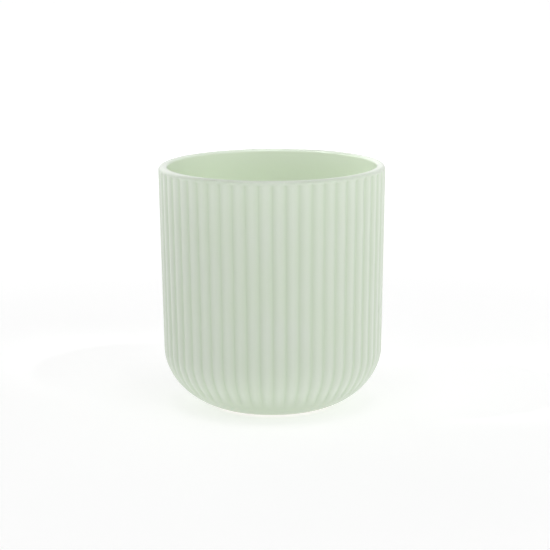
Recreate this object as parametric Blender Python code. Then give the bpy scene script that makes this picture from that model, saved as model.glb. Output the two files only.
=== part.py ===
"""Fluted ceramic brush holder pot: a slip-cast cup standing on four stick-on foot pads.

Sizes are in metres. The z axis is the axis of the pot and z = 0 is the table it stands on.
A rib crest lies on the +X axis, so a groove faces the front (-Y).
"""

import math

import bmesh
import bpy

# The cup
MOUTH_DIAMETER = 0.100  # across the rib crests, where the rim's rounding starts
BODY_HEIGHT = 0.1066  # from the flat of the foot to the crown of the rim
WALL_THICKNESS = 0.0040  # from a rib crest to the smooth inside
FLOOR_THICKNESS = 0.0050  # from the flat of the foot to the floor inside
WALL_DRAFT = math.radians(1.055)  # the wall leans out towards the mouth by this angle
RIM_OUTER_RADIUS = 0.0022  # rounding of the rim's outer edge
RIM_CROWN_WIDTH = 0.0005  # flat of the crown; the inner edge's rounding takes the rest of the wall

# The rounded corner between wall and foot: part of an ellipse that the foot cuts flat
CORNER_REACH = 0.0351  # the ellipse's half width
CORNER_RISE = 0.0281  # the ellipse's half height
INSIDE_CORNER_INSET = 0.0070  # the flat floor inside ends this far within the foot's edge

# The foot: a flat ring round a shallow recess
FOOT_DIAMETER = 0.0555
FOOT_RING_WIDTH = 0.0045
FOOT_EDGE_BREAK = 0.0007  # small bevel round the ring's outer edge
RECESS_DEPTH = 0.0008
RECESS_SLOPE = 0.0010  # width of the sloping side of the recess

# The ribs and the grooves between them
FLUTE_COUNT = 54
FLUTE_DEPTH = 0.0008
RIM_BAND = 0.0009  # smooth height under the rim's crown
RIM_FADE = 0.0015  # height over which the grooves run out towards the rim
FOOT_BAND = 0.0045  # smooth height over the foot
FOOT_FADE = 0.0070  # height over which the grooves run out towards the foot

# The foot pads, stuck in the recess close to its side and standing out below the ring
PAD_COUNT = 4
PAD_DIAMETER = 0.0080
PAD_THICKNESS = 0.0016
PAD_EDGE_BREAK = 0.0004
PAD_MARGIN = 0.0010  # clear floor between a pad and the foot of the recess's side
PAD_TURN = math.radians(45)  # direction of the first pad from +X
GLUE_GAP = 0.0003  # the film of adhesive between a pad and the recess

# How finely the round shapes are divided
SIDES_PER_FLUTE = 4
PAD_SIDES = 32
RIM_OUTER_STEPS = 3
RIM_INNER_STEPS = 2
CORNER_STEPS = 7
INSIDE_CORNER_STEPS = 5
FLAT_NORMAL_ANGLE = math.radians(35)  # edges bent more than this stay crisp

# Places that follow from the sizes above
RECESS_Z = PAD_THICKNESS + GLUE_GAP
FOOT_Z = RECESS_Z - RECESS_DEPTH
CROWN_Z = FOOT_Z + BODY_HEIGHT
WALL_TOP_Z = CROWN_Z - RIM_OUTER_RADIUS
MOUTH_RADIUS = MOUTH_DIAMETER / 2
FOOT_RADIUS = FOOT_DIAMETER / 2
RIM_INNER_RADIUS = WALL_THICKNESS - RIM_OUTER_RADIUS - RIM_CROWN_WIDTH
RECESS_FLOOR_RADIUS = FOOT_RADIUS - FOOT_RING_WIDTH - RECESS_SLOPE
PAD_RING_RADIUS = RECESS_FLOOR_RADIUS - PAD_MARGIN - PAD_DIAMETER / 2


def wall_radius(z):
    """Radius over the rib crests at height z on the straight wall."""
    return MOUTH_RADIUS - (WALL_TOP_Z - z) * math.tan(WALL_DRAFT)


def smooth_step(x):
    """0 below x = 0, 1 above x = 1, with a soft start and end."""
    x = min(1.0, max(0.0, x))
    return x * x * (3 - 2 * x)


def flute_share(z):
    """How much of the full groove depth there is at height z on the outside."""
    under_rim = smooth_step((CROWN_Z - RIM_BAND - z) / RIM_FADE)
    over_foot = smooth_step((z - FOOT_Z - FOOT_BAND) / FOOT_FADE)
    return under_rim * over_foot


def ellipse_arc(centre, half_width, half_height, start, end, steps):
    """Points of an ellipse; the angle is 0 straight down and a quarter turn level, outwards."""
    points = []
    for i in range(steps + 1):
        angle = start + (end - start) * i / steps
        points.append((
            centre[0] + half_width * math.sin(angle),
            centre[1] - half_height * math.cos(angle),
        ))
    return points


def corner_ellipse():
    """Centre of the corner's ellipse, and its angles at the foot and at the wall."""
    at_wall = math.atan2(CORNER_REACH, CORNER_RISE * math.tan(WALL_DRAFT))
    # The centre lies as far over the foot as the ellipse's angle there says, and that angle
    # hangs on the wall's radius at the centre's height. The draft is small, so a few rounds
    # settle the two.
    centre_z = FOOT_Z + CORNER_RISE
    for _ in range(6):
        joint_z = centre_z - CORNER_RISE * math.cos(at_wall)
        centre_r = wall_radius(joint_z) - CORNER_REACH * math.sin(at_wall)
        at_foot = math.asin((FOOT_RADIUS - centre_r) / CORNER_REACH)
        centre_z = FOOT_Z + CORNER_RISE * math.cos(at_foot)
    return (centre_r, centre_z), at_foot, at_wall


def inside_profile():
    """The inside from the middle of the floor up to the rim's crown, as (radius, height)."""
    (_, centre_z), _, _ = corner_ellipse()
    floor_z = FOOT_Z + FLOOR_THICKNESS
    floor_radius = FOOT_RADIUS - INSIDE_CORNER_INSET
    side_radius = wall_radius(centre_z) - WALL_THICKNESS
    corner = ellipse_arc(
        (floor_radius, centre_z), side_radius - floor_radius, centre_z - floor_z,
        0.0, math.pi / 2, INSIDE_CORNER_STEPS,
    )
    rim = ellipse_arc(
        (MOUTH_RADIUS - WALL_THICKNESS + RIM_INNER_RADIUS, CROWN_Z - RIM_INNER_RADIUS),
        RIM_INNER_RADIUS, RIM_INNER_RADIUS, -math.pi / 2, -math.pi, RIM_INNER_STEPS,
    )
    return [(0.0, floor_z)] + corner + rim


def outside_profile():
    """The outside from the rim's crown down to the foot's edge."""
    rim = ellipse_arc(
        (MOUTH_RADIUS - RIM_OUTER_RADIUS, WALL_TOP_Z),
        RIM_OUTER_RADIUS, RIM_OUTER_RADIUS, math.pi, math.pi / 2, RIM_OUTER_STEPS,
    )
    centre, at_foot, at_wall = corner_ellipse()
    corner = ellipse_arc(centre, CORNER_REACH, CORNER_RISE, at_wall, at_foot, CORNER_STEPS)
    return rim + corner


def underside_profile():
    """The foot's ring and its recess, in to the axis."""
    return [
        (FOOT_RADIUS - FOOT_EDGE_BREAK, FOOT_Z),
        (FOOT_RADIUS - FOOT_RING_WIDTH, FOOT_Z),
        (RECESS_FLOOR_RADIUS, RECESS_Z),
        (0.0, RECESS_Z),
    ]


def outward_normals(points):
    """Unit normals of a profile that runs down its outer side, one at each point."""
    normals = []
    for before, after in zip(points[:1] + points[:-1], points[1:] + points[-1:]):
        along_r, along_z = after[0] - before[0], after[1] - before[1]
        length = math.hypot(along_r, along_z)
        normals.append((-along_z / length, along_r / length))
    return normals


def groove_depth(angle):
    """Depth of the surface under the rib crests: arched ribs that meet in narrow grooves."""
    across = (angle * FLUTE_COUNT / (2 * math.pi) + 0.5) % 1.0 - 0.5
    return FLUTE_DEPTH * (2 * across) ** 2


def cup_mesh():
    """The cup: its profile turned once round the axis, then the grooves pressed into the outside."""
    bm = bmesh.new()
    # What a full groove moves a point of the profile by: nothing on the inside and underneath
    press = bm.verts.layers.float_vector.new("press")
    verts = []
    for radius, z in inside_profile():
        verts.append(bm.verts.new((radius, 0.0, z)))
    outside = outside_profile()
    for (radius, z), (normal_r, normal_z) in zip(outside, outward_normals(outside)):
        vert = bm.verts.new((radius, 0.0, z))
        vert[press] = (-normal_r * flute_share(z), 0.0, -normal_z * flute_share(z))
        verts.append(vert)
    for radius, z in underside_profile():
        verts.append(bm.verts.new((radius, 0.0, z)))
    edges = [bm.edges.new(pair) for pair in zip(verts, verts[1:])]

    bmesh.ops.spin(
        bm, geom=verts + edges, cent=(0, 0, 0), axis=(0, 0, 1),
        angle=2 * math.pi, steps=FLUTE_COUNT * SIDES_PER_FLUTE, use_merge=True,
    )
    bmesh.ops.remove_doubles(bm, verts=bm.verts[:], dist=1e-7)
    for vert in bm.verts:
        angle = math.atan2(vert.co.y, vert.co.x)
        depth = groove_depth(angle)
        vert.co.x += depth * vert[press].x * math.cos(angle)
        vert.co.y += depth * vert[press].x * math.sin(angle)
        vert.co.z += depth * vert[press].z
    bmesh.ops.recalc_face_normals(bm, faces=bm.faces[:])
    mesh = bpy.data.meshes.new("cup")
    bm.to_mesh(mesh)
    bm.free()
    return mesh


def pad_mesh():
    """One foot pad: a low disc with a broken lower edge, its top face at z = 0."""
    bm = bmesh.new()
    bmesh.ops.create_cone(
        bm, cap_ends=True, segments=PAD_SIDES,
        radius1=PAD_DIAMETER / 2, radius2=PAD_DIAMETER / 2, depth=PAD_THICKNESS,
    )
    bmesh.ops.translate(bm, verts=bm.verts[:], vec=(0, 0, -PAD_THICKNESS / 2))
    lower_edge = [
        edge for edge in bm.edges
        if all(vert.co.z < -PAD_THICKNESS / 2 for vert in edge.verts)
    ]
    bmesh.ops.bevel(
        bm, geom=lower_edge, offset=PAD_EDGE_BREAK, segments=2, profile=0.5, affect="EDGES",
    )
    mesh = bpy.data.meshes.new("pad")
    bm.to_mesh(mesh)
    bm.free()
    return mesh


def plain_material(name, colour, roughness):
    """A Principled material of one colour."""
    material = bpy.data.materials.new(name)
    material.use_nodes = True
    shader = material.node_tree.nodes["Principled BSDF"]
    shader.inputs["Base Color"].default_value = (*colour, 1.0)
    shader.inputs["Roughness"].default_value = roughness
    shader.inputs["Metallic"].default_value = 0.0
    material.diffuse_color = (*colour, 1.0)
    return material


def add_piece(name, mesh, material, parent, collection, location=(0, 0, 0)):
    """One named piece, shaded smooth but for its crisp edges."""
    piece = bpy.data.objects.new(name, mesh)
    if not mesh.materials:
        mesh.materials.append(material)
    mesh.shade_smooth()
    mesh.set_sharp_from_angle(angle=FLAT_NORMAL_ANGLE)
    piece.location = location
    piece.parent = parent
    collection.objects.link(piece)
    return piece


def main():
    """Clears the scene and builds the pot."""
    for old in list(bpy.data.objects):
        bpy.data.objects.remove(old, do_unlink=True)
    collection = bpy.data.collections.new("brush_holder_pot")
    bpy.context.scene.collection.children.link(collection)
    axis = bpy.data.objects.new("pot_axis", None)
    collection.objects.link(axis)

    glaze = plain_material("matt_mint_glaze", (0.60, 0.69, 0.54), 0.55)
    silicone = plain_material("clear_silicone", (0.80, 0.81, 0.78), 0.35)

    add_piece("pot_body", cup_mesh(), glaze, axis, collection)
    pad = pad_mesh()
    for i in range(PAD_COUNT):
        angle = PAD_TURN + 2 * math.pi * i / PAD_COUNT
        place = (
            PAD_RING_RADIUS * math.cos(angle),
            PAD_RING_RADIUS * math.sin(angle),
            PAD_THICKNESS,
        )
        add_piece(f"foot_pad_{i + 1}", pad, silicone, axis, collection, place)


main()
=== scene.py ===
"""The looks of the fluted brush holder pot: its glaze, its bare foot and its frosted foot pads."""

import logging
import math
from dataclasses import dataclass, field
from enum import Enum, IntEnum

import bmesh
import bpy
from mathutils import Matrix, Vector


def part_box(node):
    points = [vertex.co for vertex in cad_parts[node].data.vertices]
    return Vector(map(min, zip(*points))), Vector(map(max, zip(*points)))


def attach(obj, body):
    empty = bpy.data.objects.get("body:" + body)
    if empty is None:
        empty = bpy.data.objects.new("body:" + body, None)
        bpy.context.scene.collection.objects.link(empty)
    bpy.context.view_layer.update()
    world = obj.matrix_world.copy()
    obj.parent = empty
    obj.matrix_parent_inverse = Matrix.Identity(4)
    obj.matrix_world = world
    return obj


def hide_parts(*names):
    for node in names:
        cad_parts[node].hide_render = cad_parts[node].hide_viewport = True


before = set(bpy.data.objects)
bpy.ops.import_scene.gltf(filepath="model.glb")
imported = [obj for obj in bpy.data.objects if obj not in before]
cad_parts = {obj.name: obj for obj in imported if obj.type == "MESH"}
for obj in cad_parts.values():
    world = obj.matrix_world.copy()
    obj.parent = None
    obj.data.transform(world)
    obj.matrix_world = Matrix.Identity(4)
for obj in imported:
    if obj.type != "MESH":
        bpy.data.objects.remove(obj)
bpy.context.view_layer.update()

log = logging.getLogger("brush_holder_pot")

Colour = tuple[float, float, float, float]
Pair = tuple[float, float]  # in a profile: along the radius, then up

MM = 0.001
MERGE_DISTANCE = 0.0001 * MM
AIM_OVER_FOOT = 53.3 * MM
BODY = "root"
QUARTER_TURN = math.pi / 2
WHITE: Colour = (1.0, 1.0, 1.0, 1.0)


# Small helpers


def linear(red: int, green: int, blue: int) -> Colour:
    """Turns a screen colour into the linear one that a shader takes.

    Args:
        red: Red from 0 to 255.
        green: Green from 0 to 255.
        blue: Blue from 0 to 255.

    Returns:
        The linear colour with an alpha of 1.
    """
    def channel(value: int) -> float:
        """One channel, by the sRGB curve."""
        share = value / 255
        return share / 12.92 if share <= 0.04045 else ((share + 0.055) / 1.055) ** 2.4

    return channel(red), channel(green), channel(blue), 1.0


def smooth_step(x: float) -> float:
    """0 below x = 0, 1 above x = 1, with a soft start and end."""
    x = min(1.0, max(0.0, x))
    return x * x * (3 - 2 * x)


def bell(x: float, width: float) -> float:
    """A soft peak of 1 at x = 0 that is down to a third at x = width."""
    return math.exp(-((x / width) ** 2))


def ellipse_arc(
    centre: Pair, half_size: Pair, start: float, end: float, steps: int
) -> list[Pair]:
    """Points of an ellipse; the angle is 0 straight down and a quarter turn level, outwards.

    Args:
        centre: Radius and height of the ellipse's centre.
        half_size: Half width and half height.
        start: First angle.
        end: Last angle.
        steps: Number of steps between them.

    Returns:
        The points as (radius, height), both ends included.
    """
    points = []
    for i in range(steps + 1):
        angle = start + (end - start) * i / steps
        points.append((
            centre[0] + half_size[0] * math.sin(angle),
            centre[1] - half_size[1] * math.cos(angle),
        ))
    return points


def straight(start: Pair, end: Pair, steps: int) -> list[Pair]:
    """Evenly spaced points between two places, without the places themselves.

    Args:
        start: The place before the first point.
        end: The place after the last point.
        steps: Number of steps between the places.

    Returns:
        The points as (radius, height).
    """
    return [
        (start[0] + (end[0] - start[0]) * i / steps, start[1] + (end[1] - start[1]) * i / steps)
        for i in range(1, steps)
    ]


def spin_profile(bm: bmesh.types.BMesh, verts: list[bmesh.types.BMVert], steps: int) -> None:
    """Joins a profile's vertices in a line and spins it a full turn round the axis.

    Args:
        bm: The mesh that holds the vertices.
        verts: The profile's vertices, in order.
        steps: Number of steps in the turn.
    """
    edges = [bm.edges.new(pair) for pair in zip(verts, verts[1:])]
    bmesh.ops.spin(
        bm, geom=verts + edges, cent=(0, 0, 0), axis=(0, 0, 1), angle=2 * math.pi,
        steps=steps, use_merge=True,
    )


def add_piece(
    name: str, bm: bmesh.types.BMesh, materials: list[bpy.types.Material]
) -> bpy.types.Object:
    """Makes a smooth-shaded object at the origin from a finished bmesh, and frees the bmesh.

    Args:
        name: The piece's name.
        bm: Its mesh, in the frame's coordinates.
        materials: Its materials, in the order of its faces' indices.

    Returns:
        The new object, linked to the scene.
    """
    mesh = bpy.data.meshes.new(name)
    bm.to_mesh(mesh)
    bm.free()
    for material in materials:
        mesh.materials.append(material)
    mesh.shade_smooth()
    piece = bpy.data.objects.new(name, mesh)
    bpy.context.scene.collection.objects.link(piece)
    return piece


# Finishes


class MixSocket(IntEnum):
    """Places of a Mix node's sockets when it mixes colours."""

    SHARE = 0
    FIRST = 6
    SECOND = 7
    RESULT = 2


class NodeSheet:
    """A node tree with short ways to add and join its nodes."""

    def __init__(self, owner: bpy.types.Material | bpy.types.World, shader: str) -> None:
        """Opens the tree of a material or a surround.

        Args:
            owner: The new material or world, whose nodes are switched on here.
            shader: Name of the shader node that it starts with.
        """
        owner.use_nodes = True
        self.owner = owner
        self.nodes = owner.node_tree.nodes
        self.links = owner.node_tree.links
        self.shader = self.nodes[shader]

    @classmethod
    def finish(cls, name: str) -> "NodeSheet":
        """Starts a material that holds a Principled shader."""
        return cls(bpy.data.materials.new(name), "Principled BSDF")

    def add(self, kind: str, **values: object) -> bpy.types.Node:
        """Adds a node and sets its properties or, where it has no such property, its inputs.

        Args:
            kind: The node's type.
            **values: Values by the name of the property or input.

        Returns:
            The new node.
        """
        node = self.nodes.new(kind)
        for key, value in values.items():
            socket = node.inputs.get(key.replace("_", " ").title())
            if hasattr(node, key):
                setattr(node, key, value)
            elif socket is not None:
                socket.default_value = value
            else:
                raise KeyError(f"{kind} has no {key}")
        return node

    def join(self, source: bpy.types.NodeSocket, target: bpy.types.NodeSocket) -> None:
        """Links an output to an input."""
        self.links.new(source, target)

    def dress(self, name: str, value: object) -> None:
        """Gives one of the shader's inputs a value, or links an output to it.

        Args:
            name: The input's name.
            value: A number, a colour or an output.
        """
        if isinstance(value, bpy.types.NodeSocket):
            self.join(value, self.shader.inputs[name])
        else:
            self.shader.inputs[name].default_value = value

    def noise(
        self, size: float, detail: float = 2.0, roughness: float = 0.5
    ) -> bpy.types.NodeSocket:
        """Adds noise on object coordinates.

        Args:
            size: Size of its patches in metres.
            detail: Octaves of finer noise.
            roughness: Strength of those octaves.

        Returns:
            The noise's value, about 0.3 to 0.7.
        """
        place = self.add("ShaderNodeTexCoord")
        noise = self.add("ShaderNodeTexNoise", scale=1 / size, detail=detail, roughness=roughness)
        self.join(place.outputs["Object"], noise.inputs["Vector"])
        return noise.outputs["Fac"]

    def attribute(self, name: str) -> bpy.types.NodeSocket:
        """Adds a reader of one of the mesh's own attributes and returns its value."""
        return self.add("ShaderNodeAttribute", attribute_name=name).outputs["Fac"]

    def spread(
        self, source: bpy.types.NodeSocket, low: float, high: float,
        to_low: float = 0.0, to_high: float = 1.0,
    ) -> bpy.types.NodeSocket:
        """Maps a value's range to another one, clamped at both ends.

        Args:
            source: The value.
            low: Where its range starts.
            high: Where its range ends.
            to_low: What the start becomes.
            to_high: What the end becomes.

        Returns:
            The mapped value.
        """
        node = self.add(
            "ShaderNodeMapRange", from_min=low, from_max=high, to_min=to_low, to_max=to_high
        )
        self.join(source, node.inputs["Value"])
        return node.outputs["Result"]

    def mixed(
        self, share: bpy.types.NodeSocket, first: object, second: object
    ) -> bpy.types.NodeSocket:
        """Mixes two colours.

        Args:
            share: How much there is of the second colour, from 0 to 1.
            first: A colour or an output.
            second: A colour or an output.

        Returns:
            The mixed colour.
        """
        node = self.add("ShaderNodeMix", data_type="RGBA")
        for socket, colour in ((MixSocket.FIRST, first), (MixSocket.SECOND, second)):
            if isinstance(colour, bpy.types.NodeSocket):
                self.join(colour, node.inputs[socket])
            else:
                node.inputs[socket].default_value = colour
        self.join(share, node.inputs[MixSocket.SHARE])
        return node.outputs[MixSocket.RESULT]

    def bumped(
        self, height: bpy.types.NodeSocket, depth: float,
        under: bpy.types.NodeSocket | None = None,
    ) -> bpy.types.NodeSocket:
        """Adds a bump.

        Args:
            height: The bump's pattern.
            depth: Its depth in metres.
            under: Normal of an earlier bump that this one lies on.

        Returns:
            The bumped normal.
        """
        node = self.add("ShaderNodeBump", distance=depth)
        self.join(height, node.inputs["Height"])
        if under is not None:
            self.join(under, node.inputs["Normal"])
        return node.outputs["Normal"]


@dataclass(frozen=True)
class SatinGlaze:
    """Pale mint satin glaze with painted light and shade: lighter crests, rim and inside, darker
    grooves and foot.
    """

    full: Colour = linear(210, 222, 202)
    tint_shift: Colour = linear(212, 222, 206)
    # Painted light: the lighter colour of the glaze inside the cup.
    painted_inside_light: Colour = linear(218, 230, 208)
    # Painted shade: the darker colour in the grooves.
    painted_groove_shade: Colour = linear(205, 219, 196)
    # Painted highlight: the lighter colour on the rib crests and the rim.
    painted_highlight: Colour = linear(224, 231, 219)
    # Painted shade: the darker colour towards the foot and under it.
    painted_foot_shade: Colour = linear(184, 199, 173)
    refraction: float = 1.5
    roughness: float = 0.36
    roughness_swing: float = 0.05
    sheen_roughness: float = 0.12
    sheen_share: float = 0.45
    patch_size: float = 26 * MM
    ripple_size: float = 5.5 * MM
    ripple_depth: float = 0.035 * MM
    grain_size: float = 0.55 * MM
    grain_depth: float = 0.006 * MM

    def material(self) -> bpy.types.Material:
        """Builds the glaze, which reads the attributes that the cup's mesh carries.

        Returns:
            The material.
        """
        sheet = NodeSheet.finish("satin_mint_glaze")
        patches = sheet.spread(sheet.noise(self.patch_size, detail=3.0), 0.35, 0.65)
        colour = sheet.mixed(patches, self.full, self.tint_shift)
        # Painted light and shade: lighter inside, darker foot, darker grooves, lighter crests and
        # rim.
        for layer, tone in (
            (GlazeLayer.PAINTED_INSIDE_LIGHT, self.painted_inside_light), (GlazeLayer.PAINTED_GROOVE_SHADE, self.painted_groove_shade),
            (GlazeLayer.THIN, self.painted_highlight), (GlazeLayer.PAINTED_FOOT_SHADE, self.painted_foot_shade),
        ):
            colour = sheet.mixed(sheet.attribute(layer.value), colour, tone)
        sheet.dress("Base Color", colour)

        grain = sheet.noise(self.grain_size, detail=2.0, roughness=0.6)
        sheet.dress("Roughness", sheet.spread(
            grain, 0.3, 0.7,
            self.roughness - self.roughness_swing, self.roughness + self.roughness_swing,
        ))
        rippled = sheet.bumped(sheet.noise(self.ripple_size, detail=1.0), self.ripple_depth)
        sheet.dress("Normal", sheet.bumped(grain, self.grain_depth, rippled))
        sheet.dress("IOR", self.refraction)
        sheet.dress("Coat Weight", self.sheen_share)
        sheet.dress("Coat Roughness", self.sheen_roughness)
        return sheet.owner


@dataclass(frozen=True)
class BareClay:
    """The fired white clay where the glaze is wiped off the foot."""

    pale: Colour = linear(236, 231, 220)
    sandy: Colour = linear(219, 211, 196)
    roughness: float = 0.85
    grain_size: float = 0.28 * MM
    grain_depth: float = 0.03 * MM
    patch_size: float = 3.2 * MM

    def material(self) -> bpy.types.Material:
        """Builds the bare clay.

        Returns:
            The material.
        """
        sheet = NodeSheet.finish("bare_white_clay")
        patches = sheet.noise(self.patch_size, detail=4.0, roughness=0.65)
        grain = sheet.noise(self.grain_size, detail=3.0, roughness=0.7)
        sheet.dress("Base Color", sheet.mixed(
            sheet.spread(patches, 0.38, 0.66), self.pale, self.sandy
        ))
        sheet.dress("Normal", sheet.bumped(grain, self.grain_depth))
        sheet.dress("Roughness", self.roughness)
        return sheet.owner


@dataclass(frozen=True)
class FrostedSilicone:
    """Soft, clear-frosted silicone rubber, a little dusty."""

    tint: Colour = linear(232, 234, 230)
    dusty: Colour = linear(221, 221, 214)
    roughness: float = 0.3
    dusty_roughness: float = 0.5
    clearness: float = 0.25
    refraction: float = 1.41
    dust_size: float = 0.9 * MM

    def material(self) -> bpy.types.Material:
        """Builds the silicone.

        Returns:
            The material.
        """
        sheet = NodeSheet.finish("clear_silicone")
        dust = sheet.noise(self.dust_size, detail=4.0, roughness=0.7)
        sheet.dress("Base Color", sheet.mixed(
            sheet.spread(dust, 0.45, 0.7), self.tint, self.dusty
        ))
        sheet.dress("Roughness", sheet.spread(
            dust, 0.4, 0.7, self.roughness, self.dusty_roughness
        ))
        sheet.dress("Transmission Weight", self.clearness)
        sheet.dress("IOR", self.refraction)
        return sheet.owner


@dataclass(frozen=True)
class AdhesiveFilm:
    """The thin foam film that holds a pad."""

    colour: Colour = linear(238, 238, 234)
    roughness: float = 0.7
    cell_size: float = 0.2 * MM
    cell_depth: float = 0.01 * MM

    def material(self) -> bpy.types.Material:
        """Builds the film.

        Returns:
            The material.
        """
        sheet = NodeSheet.finish("adhesive_film")
        sheet.dress("Base Color", self.colour)
        sheet.dress("Roughness", self.roughness)
        sheet.dress("Normal", sheet.bumped(sheet.noise(self.cell_size), self.cell_depth))
        return sheet.owner


@dataclass(frozen=True)
class LightTable:
    """The frosted, lit table top under the pot: even near it and whiter farther out."""

    colour: Colour = linear(198, 198, 198)
    roughness: float = 0.9
    gloss: float = 0.2
    glow_near: float = 0.60
    glow_far: float = 0.95
    near: float = 0.25
    far: float = 1.70

    def material(self) -> bpy.types.Material:
        """Builds the table top.

        Returns:
            The material.
        """
        sheet = NodeSheet.finish("light_table")
        sheet.dress("Base Color", self.colour)
        sheet.dress("Roughness", self.roughness)
        sheet.dress("Specular IOR Level", self.gloss)
        sheet.dress("Emission Color", WHITE)
        away = sheet.add("ShaderNodeVectorMath", operation="LENGTH")
        sheet.join(sheet.add("ShaderNodeTexCoord").outputs["Object"], away.inputs["Vector"])
        sheet.dress("Emission Strength", sheet.spread(
            away.outputs["Value"], self.near, self.far, self.glow_near, self.glow_far
        ))
        return sheet.owner


# The cup


class GlazeLayer(Enum):
    """Names of the cup mesh's attributes that say where light and shade are painted on its glaze.
    """

    PAINTED_GROOVE_SHADE = "glaze_pool"
    THIN = "glaze_thin"
    PAINTED_INSIDE_LIGHT = "glaze_lining"
    PAINTED_FOOT_SHADE = "glaze_gather"


class CupSkin(IntEnum):
    """The cup's material slots."""

    GLAZED = 0
    BARE = 1


@dataclass
class FluteCutter:
    """The grooves of the cup: their number, their section and where they run out."""

    count: int = 54
    depth: float = 0.8 * MM
    valley_softness: float = 0.10
    rim_band: float = 0.9 * MM
    rim_fade: float = 1.5 * MM
    foot_band: float = 4.5 * MM
    foot_fade: float = 7.0 * MM
    columns: int = 12
    column_crowding: float = 0.45

    def share_at(self, under_crown: float, over_foot: float) -> float:
        """How much of the full depth there is.

        Args:
            under_crown: Height below the rim's crown.
            over_foot: Height over the foot.

        Returns:
            A share from 0 to 1.
        """
        at_rim = smooth_step((under_crown - self.rim_band) / self.rim_fade)
        at_foot = smooth_step((over_foot - self.foot_band) / self.foot_fade)
        return at_rim * at_foot

    def across(self, angle: float) -> float:
        """Place across a rib at an angle round the axis: 0 on its crest, -1 or 1 in a groove."""
        return 2 * ((angle * self.count / (2 * math.pi) + 0.5) % 1.0 - 0.5)

    def crowded(self, angle: float) -> float:
        """Moves an evenly spaced angle closer to its groove, where the section bends most.

        Args:
            angle: The angle round the axis.

        Returns:
            The moved angle.
        """
        place = self.across(angle)
        shift = self.column_crowding * math.sin(math.pi * place) / math.pi
        return angle + shift * math.pi / self.count

    def section(self, across: float) -> float:
        """Depth at a place across the rib: an arched rib and a narrow, softly rounded groove.

        Args:
            across: The place, 0 on the rib's crest, -1 and 1 in the grooves.

        Returns:
            The depth under the crest.
        """
        soft = self.valley_softness
        from_groove = 1 - abs(across)
        eased = (math.hypot(from_groove, soft) - soft) / (math.hypot(1.0, soft) - soft)
        return self.depth * (1 - eased) ** 2


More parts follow.
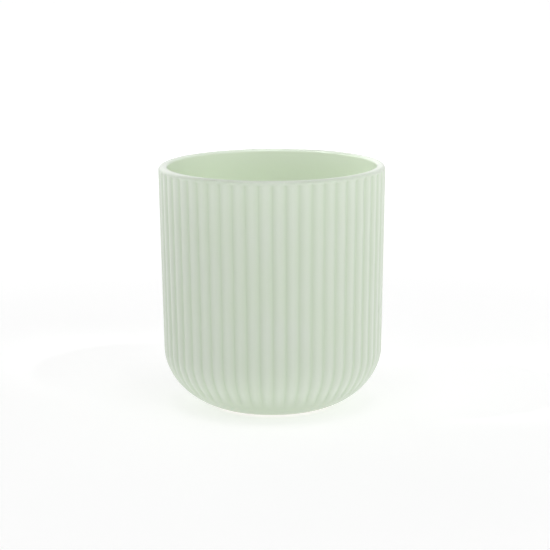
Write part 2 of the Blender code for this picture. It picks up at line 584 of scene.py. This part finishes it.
@dataclass
class FlutedCup:
    """The cast cup: wall, rounded corner, floor, rim and foot."""

    low: Vector
    high: Vector
    flutes: FluteCutter = field(default_factory=FluteCutter)
    wall: float = 4.0 * MM
    floor: float = 5.0 * MM
    draft: float = math.radians(1.055)
    rim_outer: float = 2.2 * MM
    rim_crown: float = 0.5 * MM
    corner: Pair = (35.1 * MM, 28.1 * MM)
    inside_inset: float = 7.0 * MM
    foot_radius: float = 27.75 * MM
    ring_width: float = 4.5 * MM
    edge_break: float = 0.7 * MM
    recess_depth: float = 0.8 * MM
    recess_slope: float = 1.0 * MM
    glaze_thickness: float = 0.12 * MM
    # Reach of the painted inside light and foot shade, width of the groove shade, and strength and
    # width of the painted highlights.
    inside_light_fade: float = 2.0 * MM
    foot_shade_height: float = 14.0 * MM
    groove_shade_width: float = 0.30
    crest_highlight: float = 0.25
    crest_highlight_width: float = 0.35
    rim_highlight: float = 0.6
    rim_highlight_width: float = 0.30

    def __post_init__(self) -> None:
        """Works out the places that the rest hangs on."""
        self.mouth = (self.high.x - self.low.x) / 2
        self.crown_z = self.high.z
        self.foot_z = self.low.z
        self.wall_top_z = self.crown_z - self.rim_outer
        self.recess_z = self.foot_z + self.recess_depth

    def wall_radius(self, z: float) -> float:
        """Radius over the rib crests at a height on the straight wall."""
        return self.mouth - (self.wall_top_z - z) * math.tan(self.draft)

    def corner_place(self) -> tuple[Pair, float, float]:
        """Finds the corner's ellipse.

        Returns:
            Its centre as (radius, height), its angle at the foot and its angle at the wall.
        """
        reach, rise = self.corner
        at_wall = math.atan2(reach, rise * math.tan(self.draft))
        centre_z = self.foot_z + rise
        for _ in range(6):
            joint_z = centre_z - rise * math.cos(at_wall)
            centre_r = self.wall_radius(joint_z) - reach * math.sin(at_wall)
            at_foot = math.asin((self.foot_radius - centre_r) / reach)
            centre_z = self.foot_z + rise * math.cos(at_foot)
        return (centre_r, centre_z), at_foot, at_wall

    def inside(self) -> list[Pair]:
        """The inside's profile from the middle of the floor up to the rim's crown.

        Returns:
            Its points as (radius, height).
        """
        (_, centre_z), _, _ = self.corner_place()
        floor_z = self.foot_z + self.floor
        flat = self.foot_radius - self.inside_inset
        side = self.wall_radius(centre_z) - self.wall
        turn = self.wall - self.rim_outer - self.rim_crown
        corner = ellipse_arc(
            (flat, centre_z), (side - flat, centre_z - floor_z), 0.0, QUARTER_TURN, steps=18
        )
        rim = ellipse_arc(
            (self.mouth - self.wall + turn, self.crown_z - turn), (turn, turn),
            -QUARTER_TURN, -math.pi, steps=8,
        )
        middle = (0.0, floor_z)
        return [
            middle, *straight(middle, corner[0], steps=5),
            *corner, *straight(corner[-1], rim[0], steps=10),
            *rim,
        ]

    def outside(self) -> list[Pair]:
        """The outside's profile over the rib crests, from the rim's crown down to the foot.

        Returns:
            Its points as (radius, height).
        """
        turn = self.rim_outer
        rim = ellipse_arc(
            (self.mouth - turn, self.wall_top_z), (turn, turn), math.pi, QUARTER_TURN, steps=14
        )
        below_rim = (self.wall_radius(self.wall_top_z - turn), self.wall_top_z - turn)
        centre, at_foot, at_wall = self.corner_place()
        corner = ellipse_arc(centre, self.corner, at_wall, at_foot, steps=40)
        return [
            *rim, *straight(rim[-1], below_rim, steps=4),
            below_rim, *straight(below_rim, corner[0], steps=12),
            *corner,
        ]

    def underside(self) -> list[Pair]:
        """The bare ring between two rounded glaze edges, then the glazed recess in to the axis.

        Returns:
            Its points as (radius, height).
        """
        lip = self.glaze_thickness
        outer = self.foot_radius - self.edge_break
        inner = self.foot_radius - self.ring_width
        recess = inner - self.recess_slope
        lip_z = self.foot_z + 2 * lip
        outer_edge = ellipse_arc((outer + lip, lip_z), (lip, lip), 0.0, -QUARTER_TURN, steps=4)
        inner_edge = ellipse_arc((inner - lip, lip_z), (lip, lip), QUARTER_TURN, 0.0, steps=4)
        slope = ellipse_arc(
            (recess, lip_z), (inner - 2 * lip - recess, self.recess_depth - 2 * lip),
            QUARTER_TURN, math.pi, steps=8,
        )
        ring_outer = (outer - lip, self.foot_z)
        ring_inner = (inner + lip, self.foot_z)
        middle = (0.0, self.recess_z)
        return [
            *outer_edge, (outer, self.foot_z + lip),
            ring_outer, *straight(ring_outer, ring_inner, steps=6), ring_inner,
            (inner, self.foot_z + lip), *inner_edge,
            *slope, *straight(slope[-1], middle, steps=6),
            middle,
        ]

    def is_bare(self, centre: Vector) -> bool:
        """Tells whether a face belongs to the wiped ring under the foot.

        Args:
            centre: The face's centre.

        Returns:
            True on the ring.
        """
        outer = self.foot_radius - self.edge_break
        inner = self.foot_radius - self.ring_width
        is_low = centre.z < self.foot_z + 1.2 * self.glaze_thickness
        return is_low and inner < math.hypot(centre.x, centre.y) < outer

    def lay_profile(
        self, bm: bmesh.types.BMesh, press: bmesh.types.BMLayerItem
    ) -> list[bmesh.types.BMVert]:
        """Lays the whole profile: from the floor's middle, over the rim, to the recess's middle.

        Args:
            bm: The mesh that takes it, with its layers of painted light and shade in place.
            press: Layer for what a unit of groove depth moves a vertex by.

        Returns:
            The vertices, in order.
        """
        painted_inside_light = bm.verts.layers.float[GlazeLayer.PAINTED_INSIDE_LIGHT.value]
        foot_shade = bm.verts.layers.float[GlazeLayer.PAINTED_FOOT_SHADE.value]
        inner = [bm.verts.new((radius, 0.0, z)) for radius, z in self.inside()]
        for vert in inner:
            # Painted light: the inside turns lighter from just below the rim down.
            vert[painted_inside_light] = smooth_step((self.crown_z - vert.co.z) / self.inside_light_fade)
        line = self.outside()
        outer = []
        for before, (radius, z), after in zip(line[:1] + line[:-1], line, line[1:] + line[-1:]):
            along = Vector((after[0] - before[0], 0.0, after[1] - before[1])).normalized()
            share = self.flutes.share_at(self.crown_z - z, z - self.foot_z)
            vert = bm.verts.new((radius, 0.0, z))
            vert[press] = Vector((along.z, 0.0, -along.x)) * share
            # Painted shade: the glaze darkens towards the foot.
            vert[foot_shade] = smooth_step(1 - (z - self.foot_z) / self.foot_shade_height)
            outer.append(vert)
        under = [bm.verts.new((radius, 0.0, z)) for radius, z in self.underside()]
        for vert in under:
            # Painted shade over the whole underside.
            vert[foot_shade] = 1.0
        return inner + outer + under

    def mesh(self) -> bmesh.types.BMesh:
        """Spins the profile round the axis, presses the grooves in and marks where light and shade
        are painted.

        Returns:
            The finished mesh.
        """
        bm = bmesh.new()
        press = bm.verts.layers.float_vector.new("press")
        for layer in GlazeLayer:
            bm.verts.layers.float.new(layer.value)
        spin_profile(bm, self.lay_profile(bm, press), self.flutes.count * self.flutes.columns)
        bmesh.ops.remove_doubles(bm, verts=bm.verts[:], dist=MERGE_DISTANCE)
        groove_shade = bm.verts.layers.float[GlazeLayer.PAINTED_GROOVE_SHADE.value]
        painted_highlight = bm.verts.layers.float[GlazeLayer.THIN.value]
        for vert in bm.verts:
            self.shape_vertex(vert, press, groove_shade, painted_highlight)
        bm.verts.layers.float_vector.remove(press)
        bmesh.ops.recalc_face_normals(bm, faces=bm.faces[:])
        for face in bm.faces:
            if self.is_bare(face.calc_center_median()):
                face.material_index = CupSkin.BARE
        return bm

    def shape_vertex(
        self, vert: bmesh.types.BMVert, press: bmesh.types.BMLayerItem,
        groove_shade: bmesh.types.BMLayerItem, painted_highlight: bmesh.types.BMLayerItem,
    ) -> None:
        """Moves one vertex of the spun mesh to its place and sets its painted groove shade and
        painted highlight.

        Args:
            vert: The vertex.
            press: Layer with what a unit of groove depth moves it by, in the profile's plane.
            groove_shade: Layer of painted shade in the grooves, set here.
            painted_highlight: Layer of painted highlight on the rib crests and the rim, set here.
        """
        share = vert[press].length
        if share > 0:
            angle = self.flutes.crowded(math.atan2(vert.co.y, vert.co.x))
            across = self.flutes.across(angle)
            depth = self.flutes.section(across)
            radius = math.hypot(vert.co.x, vert.co.y) + depth * vert[press].x
            z = vert.co.z + depth * vert[press].z
            vert.co = (radius * math.cos(angle), radius * math.sin(angle), z)
            # Painted shade: darker colour towards each groove's bottom.
            vert[groove_shade] = share * bell(1 - abs(across), self.groove_shade_width)
            # Painted highlight: lighter colour on each rib's crest.
            vert[painted_highlight] = share * self.crest_highlight * bell(across, self.crest_highlight_width)
        # Painted highlight: lighter colour along the rim.
        under_crown = (self.crown_z - vert.co.z) / self.rim_outer
        at_rim = self.rim_highlight * bell(under_crown, self.rim_highlight_width)
        vert[painted_highlight] = max(vert[painted_highlight], at_rim)

    def build(self, glaze: SatinGlaze, clay: BareClay) -> bpy.types.Object:
        """Builds the cup in its glaze and with its bare foot ring.

        Args:
            glaze: The finish of everything but the ring.
            clay: The finish of the ring.

        Returns:
            The cup.
        """
        piece = add_piece("glazed_cup", self.mesh(), [glaze.material(), clay.material()])
        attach(piece, BODY)
        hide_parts("pot_body")
        log.info("%s: %d faces", piece.name, len(piece.data.polygons))
        return piece


# The foot pads


class PadSkin(IntEnum):
    """A pad's material slots."""

    SILICONE = 0
    FILM = 1


@dataclass
class FootPads:
    """Four soft bumper pads, each on its film of adhesive."""

    nodes: list[str]
    columns: int = 64
    film_inset: float = 0.25 * MM
    film_thickness: float = 0.28 * MM
    lower_round: float = 0.4 * MM
    upper_round: float = 0.15 * MM
    side_bulge: float = 0.08 * MM

    def profile(self, radius: float, thickness: float) -> list[Pair]:
        """A pad's section from the middle of its top, over its side, to its underside's middle.

        Args:
            radius: The pad's radius.
            thickness: The pad's thickness, without the film.

        Returns:
            Points as (radius, height over the pad's underside).
        """
        upper, lower = self.upper_round, self.lower_round
        shoulder = ellipse_arc(
            (radius - self.side_bulge - upper, thickness - upper), (upper, upper),
            math.pi, QUARTER_TURN, steps=4,
        )
        side = ellipse_arc((radius - lower, lower), (lower, lower), QUARTER_TURN, 0.0, steps=8)
        return [(0.0, thickness), *shoulder, *side, (0.0, 0.0)]

    def film_profile(self, radius: float, thickness: float) -> list[Pair]:
        """The film's section: a thin disc that starts on the pad's top.

        Args:
            radius: The pad's radius.
            thickness: The pad's thickness, without the film.

        Returns:
            Points as (radius, height over the pad's underside).
        """
        edge = radius - self.side_bulge - self.film_inset
        top = thickness + self.film_thickness
        return [(0.0, top), (edge, top), (edge, thickness), (0.0, thickness)]

    def mesh(self, node: str) -> bmesh.types.BMesh:
        """Turns a pad and its film in the place of a node.

        Args:
            node: The node's name.

        Returns:
            The finished mesh.
        """
        low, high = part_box(node)
        centre = (low + high) / 2
        radius, thickness = (high.x - low.x) / 2, high.z - low.z
        bm = bmesh.new()
        skins = ((self.profile, PadSkin.SILICONE), (self.film_profile, PadSkin.FILM))
        for section, skin in skins:
            old_faces = set(bm.faces)
            verts = [bm.verts.new((r, 0.0, z)) for r, z in section(radius, thickness)]
            spin_profile(bm, verts, self.columns)
            made = [face for face in bm.faces if face not in old_faces]
            for face in made:
                face.material_index = skin
            turned = list({vert for face in made for vert in face.verts})
            bmesh.ops.remove_doubles(bm, verts=turned, dist=MERGE_DISTANCE)
        bmesh.ops.recalc_face_normals(bm, faces=bm.faces[:])
        bmesh.ops.translate(bm, verts=bm.verts[:], vec=(centre.x, centre.y, low.z))
        return bm

    def build(self, silicone: FrostedSilicone, film: AdhesiveFilm) -> list[bpy.types.Object]:
        """Builds every pad in its node's place.

        Args:
            silicone: The pads' finish.
            film: The films' finish.

        Returns:
            The pads, in the order of their nodes.
        """
        materials = [silicone.material(), film.material()]
        pads = []
        for node in self.nodes:
            piece = add_piece(node.replace("foot_pad", "silicone_pad"), self.mesh(node), materials)
            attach(piece, BODY)
            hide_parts(node)
            log.info("%s: %d faces", piece.name, len(piece.data.polygons))
            pads.append(piece)
        return pads


# The studio


def seen_from(azimuth: float, elevation: float) -> Vector:
    """Direction from the pot towards a light.

    Args:
        azimuth: Degrees, 0 in front of the pot and growing to the right.
        elevation: Degrees over the table.

    Returns:
        The direction as a unit vector.
    """
    side, up = math.radians(azimuth), math.radians(elevation)
    return Vector((math.sin(side) * math.cos(up), -math.cos(side) * math.cos(up), math.sin(up)))


def hang_lamp(light: bpy.types.Light, target: Vector, away: Vector, distance: float) -> None:
    """Hangs a light so that it faces its target.

    Args:
        light: The light.
        target: The place that it faces.
        away: Direction from the target towards the light.
        distance: Distance from the target.
    """
    lamp = bpy.data.objects.new(light.name, light)
    lamp.location = target + away * distance
    lamp.rotation_euler = away.to_track_quat("Z", "Y").to_euler()
    bpy.context.scene.collection.objects.link(lamp)


@dataclass(frozen=True)
class SoftBox:
    """A large soft light that faces the pot."""

    name: str
    azimuth: float
    elevation: float
    power: float
    side: float = 0.7
    distance: float = 1.3

    def hang(self, pot_middle: Vector) -> None:
        """Hangs the soft box round the pot.

        Args:
            pot_middle: The place that it faces.
        """
        light = bpy.data.lights.new(self.name, "AREA")
        light.shape = "SQUARE"
        light.size = self.side
        light.energy = self.power
        hang_lamp(light, pot_middle, seen_from(self.azimuth, self.elevation), self.distance)


@dataclass(frozen=True)
class Snoot:
    """A narrow, soft-edged beam into the pot's mouth."""

    name: str
    azimuth: float
    elevation: float
    power: float
    beam: float = math.radians(4.6)
    edge: float = 0.8
    lens_radius: float = 0.03
    off_axis: float = 32 * MM
    below_rim: float = 15.7 * MM
    distance: float = 1.3

    def hang(self, rim_middle: Vector) -> None:
        """Hangs the light so that it meets the inner wall on the far side of the mouth.

        Args:
            rim_middle: The middle of the mouth, at the rim's height.
        """
        light = bpy.data.lights.new(self.name, "SPOT")
        light.spot_size, light.spot_blend = self.beam, self.edge
        light.shadow_soft_size = self.lens_radius
        light.energy = self.power
        across = seen_from(self.azimuth, 0)
        target = rim_middle - across * self.off_axis - Vector((0, 0, self.below_rim))
        hang_lamp(light, target, seen_from(self.azimuth, self.elevation), self.distance)


@dataclass
class Studio:
    """A light table, a bright horizon, a ring of soft boxes, the snoots and the camera."""

    aim: Vector
    rim_middle: Vector
    horizon: float = 1.0
    horizon_top: float = math.radians(5)
    horizon_fade: float = math.radians(11)
    ceiling: float = 0.05
    table_radius: float = 4.0
    lens: float = 139.0
    sensor: float = 36.0
    clip: tuple[float, float] = (0.05, 20.0)
    camera_distance: float = 0.9448
    camera_elevation: float = math.radians(11.77)
    camera_roll: float = math.radians(-0.355)
    camera_shift: tuple[float, float] = (0.0046, 0.0142)
    boxes: tuple[SoftBox, ...] = (
        SoftBox("key_softbox", azimuth=30, elevation=25, power=2.4),
        SoftBox("right_front_softbox", azimuth=60, elevation=25, power=1.6),
        SoftBox("right_softbox", azimuth=90, elevation=25, power=1.7),
        SoftBox("right_back_softbox", azimuth=120, elevation=25, power=1.6),
        SoftBox("right_rim_softbox", azimuth=150, elevation=25, power=1.3),
        SoftBox("back_softbox", azimuth=180, elevation=25, power=1.7),
        SoftBox("left_rim_softbox", azimuth=-150, elevation=25, power=2.4),
        SoftBox("left_back_softbox", azimuth=-120, elevation=25, power=1.3),
        SoftBox("left_softbox", azimuth=-90, elevation=25, power=1.9),
        SoftBox("fill_softbox", azimuth=-30, elevation=25, power=1.4),
        SoftBox("top_softbox", azimuth=0, elevation=75, power=3.6),
    )
    snoots: tuple[Snoot, ...] = (
        Snoot("left_snoot", azimuth=-75, elevation=50, power=42.0),
        Snoot("middle_snoot", azimuth=0, elevation=50, power=15.0),
        Snoot("right_snoot", azimuth=45, elevation=50, power=16.0),
    )

    def lay_table(self, table: LightTable) -> None:
        """Lays the table top that the pot stands on.

        Args:
            table: The table top's finish.
        """
        bm = bmesh.new()
        bmesh.ops.create_circle(bm, cap_ends=True, radius=self.table_radius, segments=96)
        add_piece("studio_floor", bm, [table.material()])

    def light(self) -> None:
        """Makes a surround that is bright at the horizon, and hangs the lights."""
        sheet = NodeSheet(bpy.data.worlds.new("bright_horizon"), "Background")
        direction = sheet.add("ShaderNodeSeparateXYZ")
        sheet.join(
            sheet.add("ShaderNodeTexCoord").outputs["Generated"], direction.inputs["Vector"]
        )
        sheet.dress("Color", WHITE)
        sheet.dress("Strength", sheet.spread(
            direction.outputs["Z"], math.sin(self.horizon_top), math.sin(self.horizon_fade),
            self.horizon, self.ceiling,
        ))
        bpy.context.scene.world = sheet.owner
        for box in self.boxes:
            box.hang(self.aim)
        for snoot in self.snoots:
            snoot.hang(self.rim_middle)
        bpy.context.scene.view_settings.view_transform = "Standard"

    def place_camera(self) -> None:
        """Places the camera in front of the pot, a little above it and far off."""
        camera = bpy.data.cameras.new("product_camera")
        camera.lens = self.lens
        camera.sensor_width = self.sensor
        camera.shift_x, camera.shift_y = self.camera_shift
        camera.clip_start, camera.clip_end = self.clip
        stand = bpy.data.objects.new("product_camera", camera)
        up = self.camera_elevation
        back = Vector((0.0, -math.cos(up), math.sin(up)))
        stand.location = self.aim + back * self.camera_distance
        stand.rotation_euler = (QUARTER_TURN - up, 0.0, 0.0)
        stand.rotation_euler.rotate_axis("Z", self.camera_roll)
        bpy.context.scene.collection.objects.link(stand)
        bpy.context.scene.camera = stand

    def set_up(self) -> None:
        """Makes the whole studio."""
        self.place_camera()
        self.lay_table(LightTable())
        self.light()
        log.info("studio: %d soft boxes, %d snoots", len(self.boxes), len(self.snoots))


def main() -> None:
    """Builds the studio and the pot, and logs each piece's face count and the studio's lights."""
    logging.basicConfig(level=logging.INFO, format="%(name)s: %(message)s")
    low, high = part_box("pot_body")
    Studio(
        aim=Vector((0.0, 0.0, low.z + AIM_OVER_FOOT)), rim_middle=Vector((0.0, 0.0, high.z))
    ).set_up()
    FlutedCup(low, high).build(SatinGlaze(), BareClay())
    pads = sorted(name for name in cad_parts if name.startswith("foot_pad"))
    FootPads(pads).build(FrostedSilicone(), AdhesiveFilm())


if __name__ == "__main__":
    main()
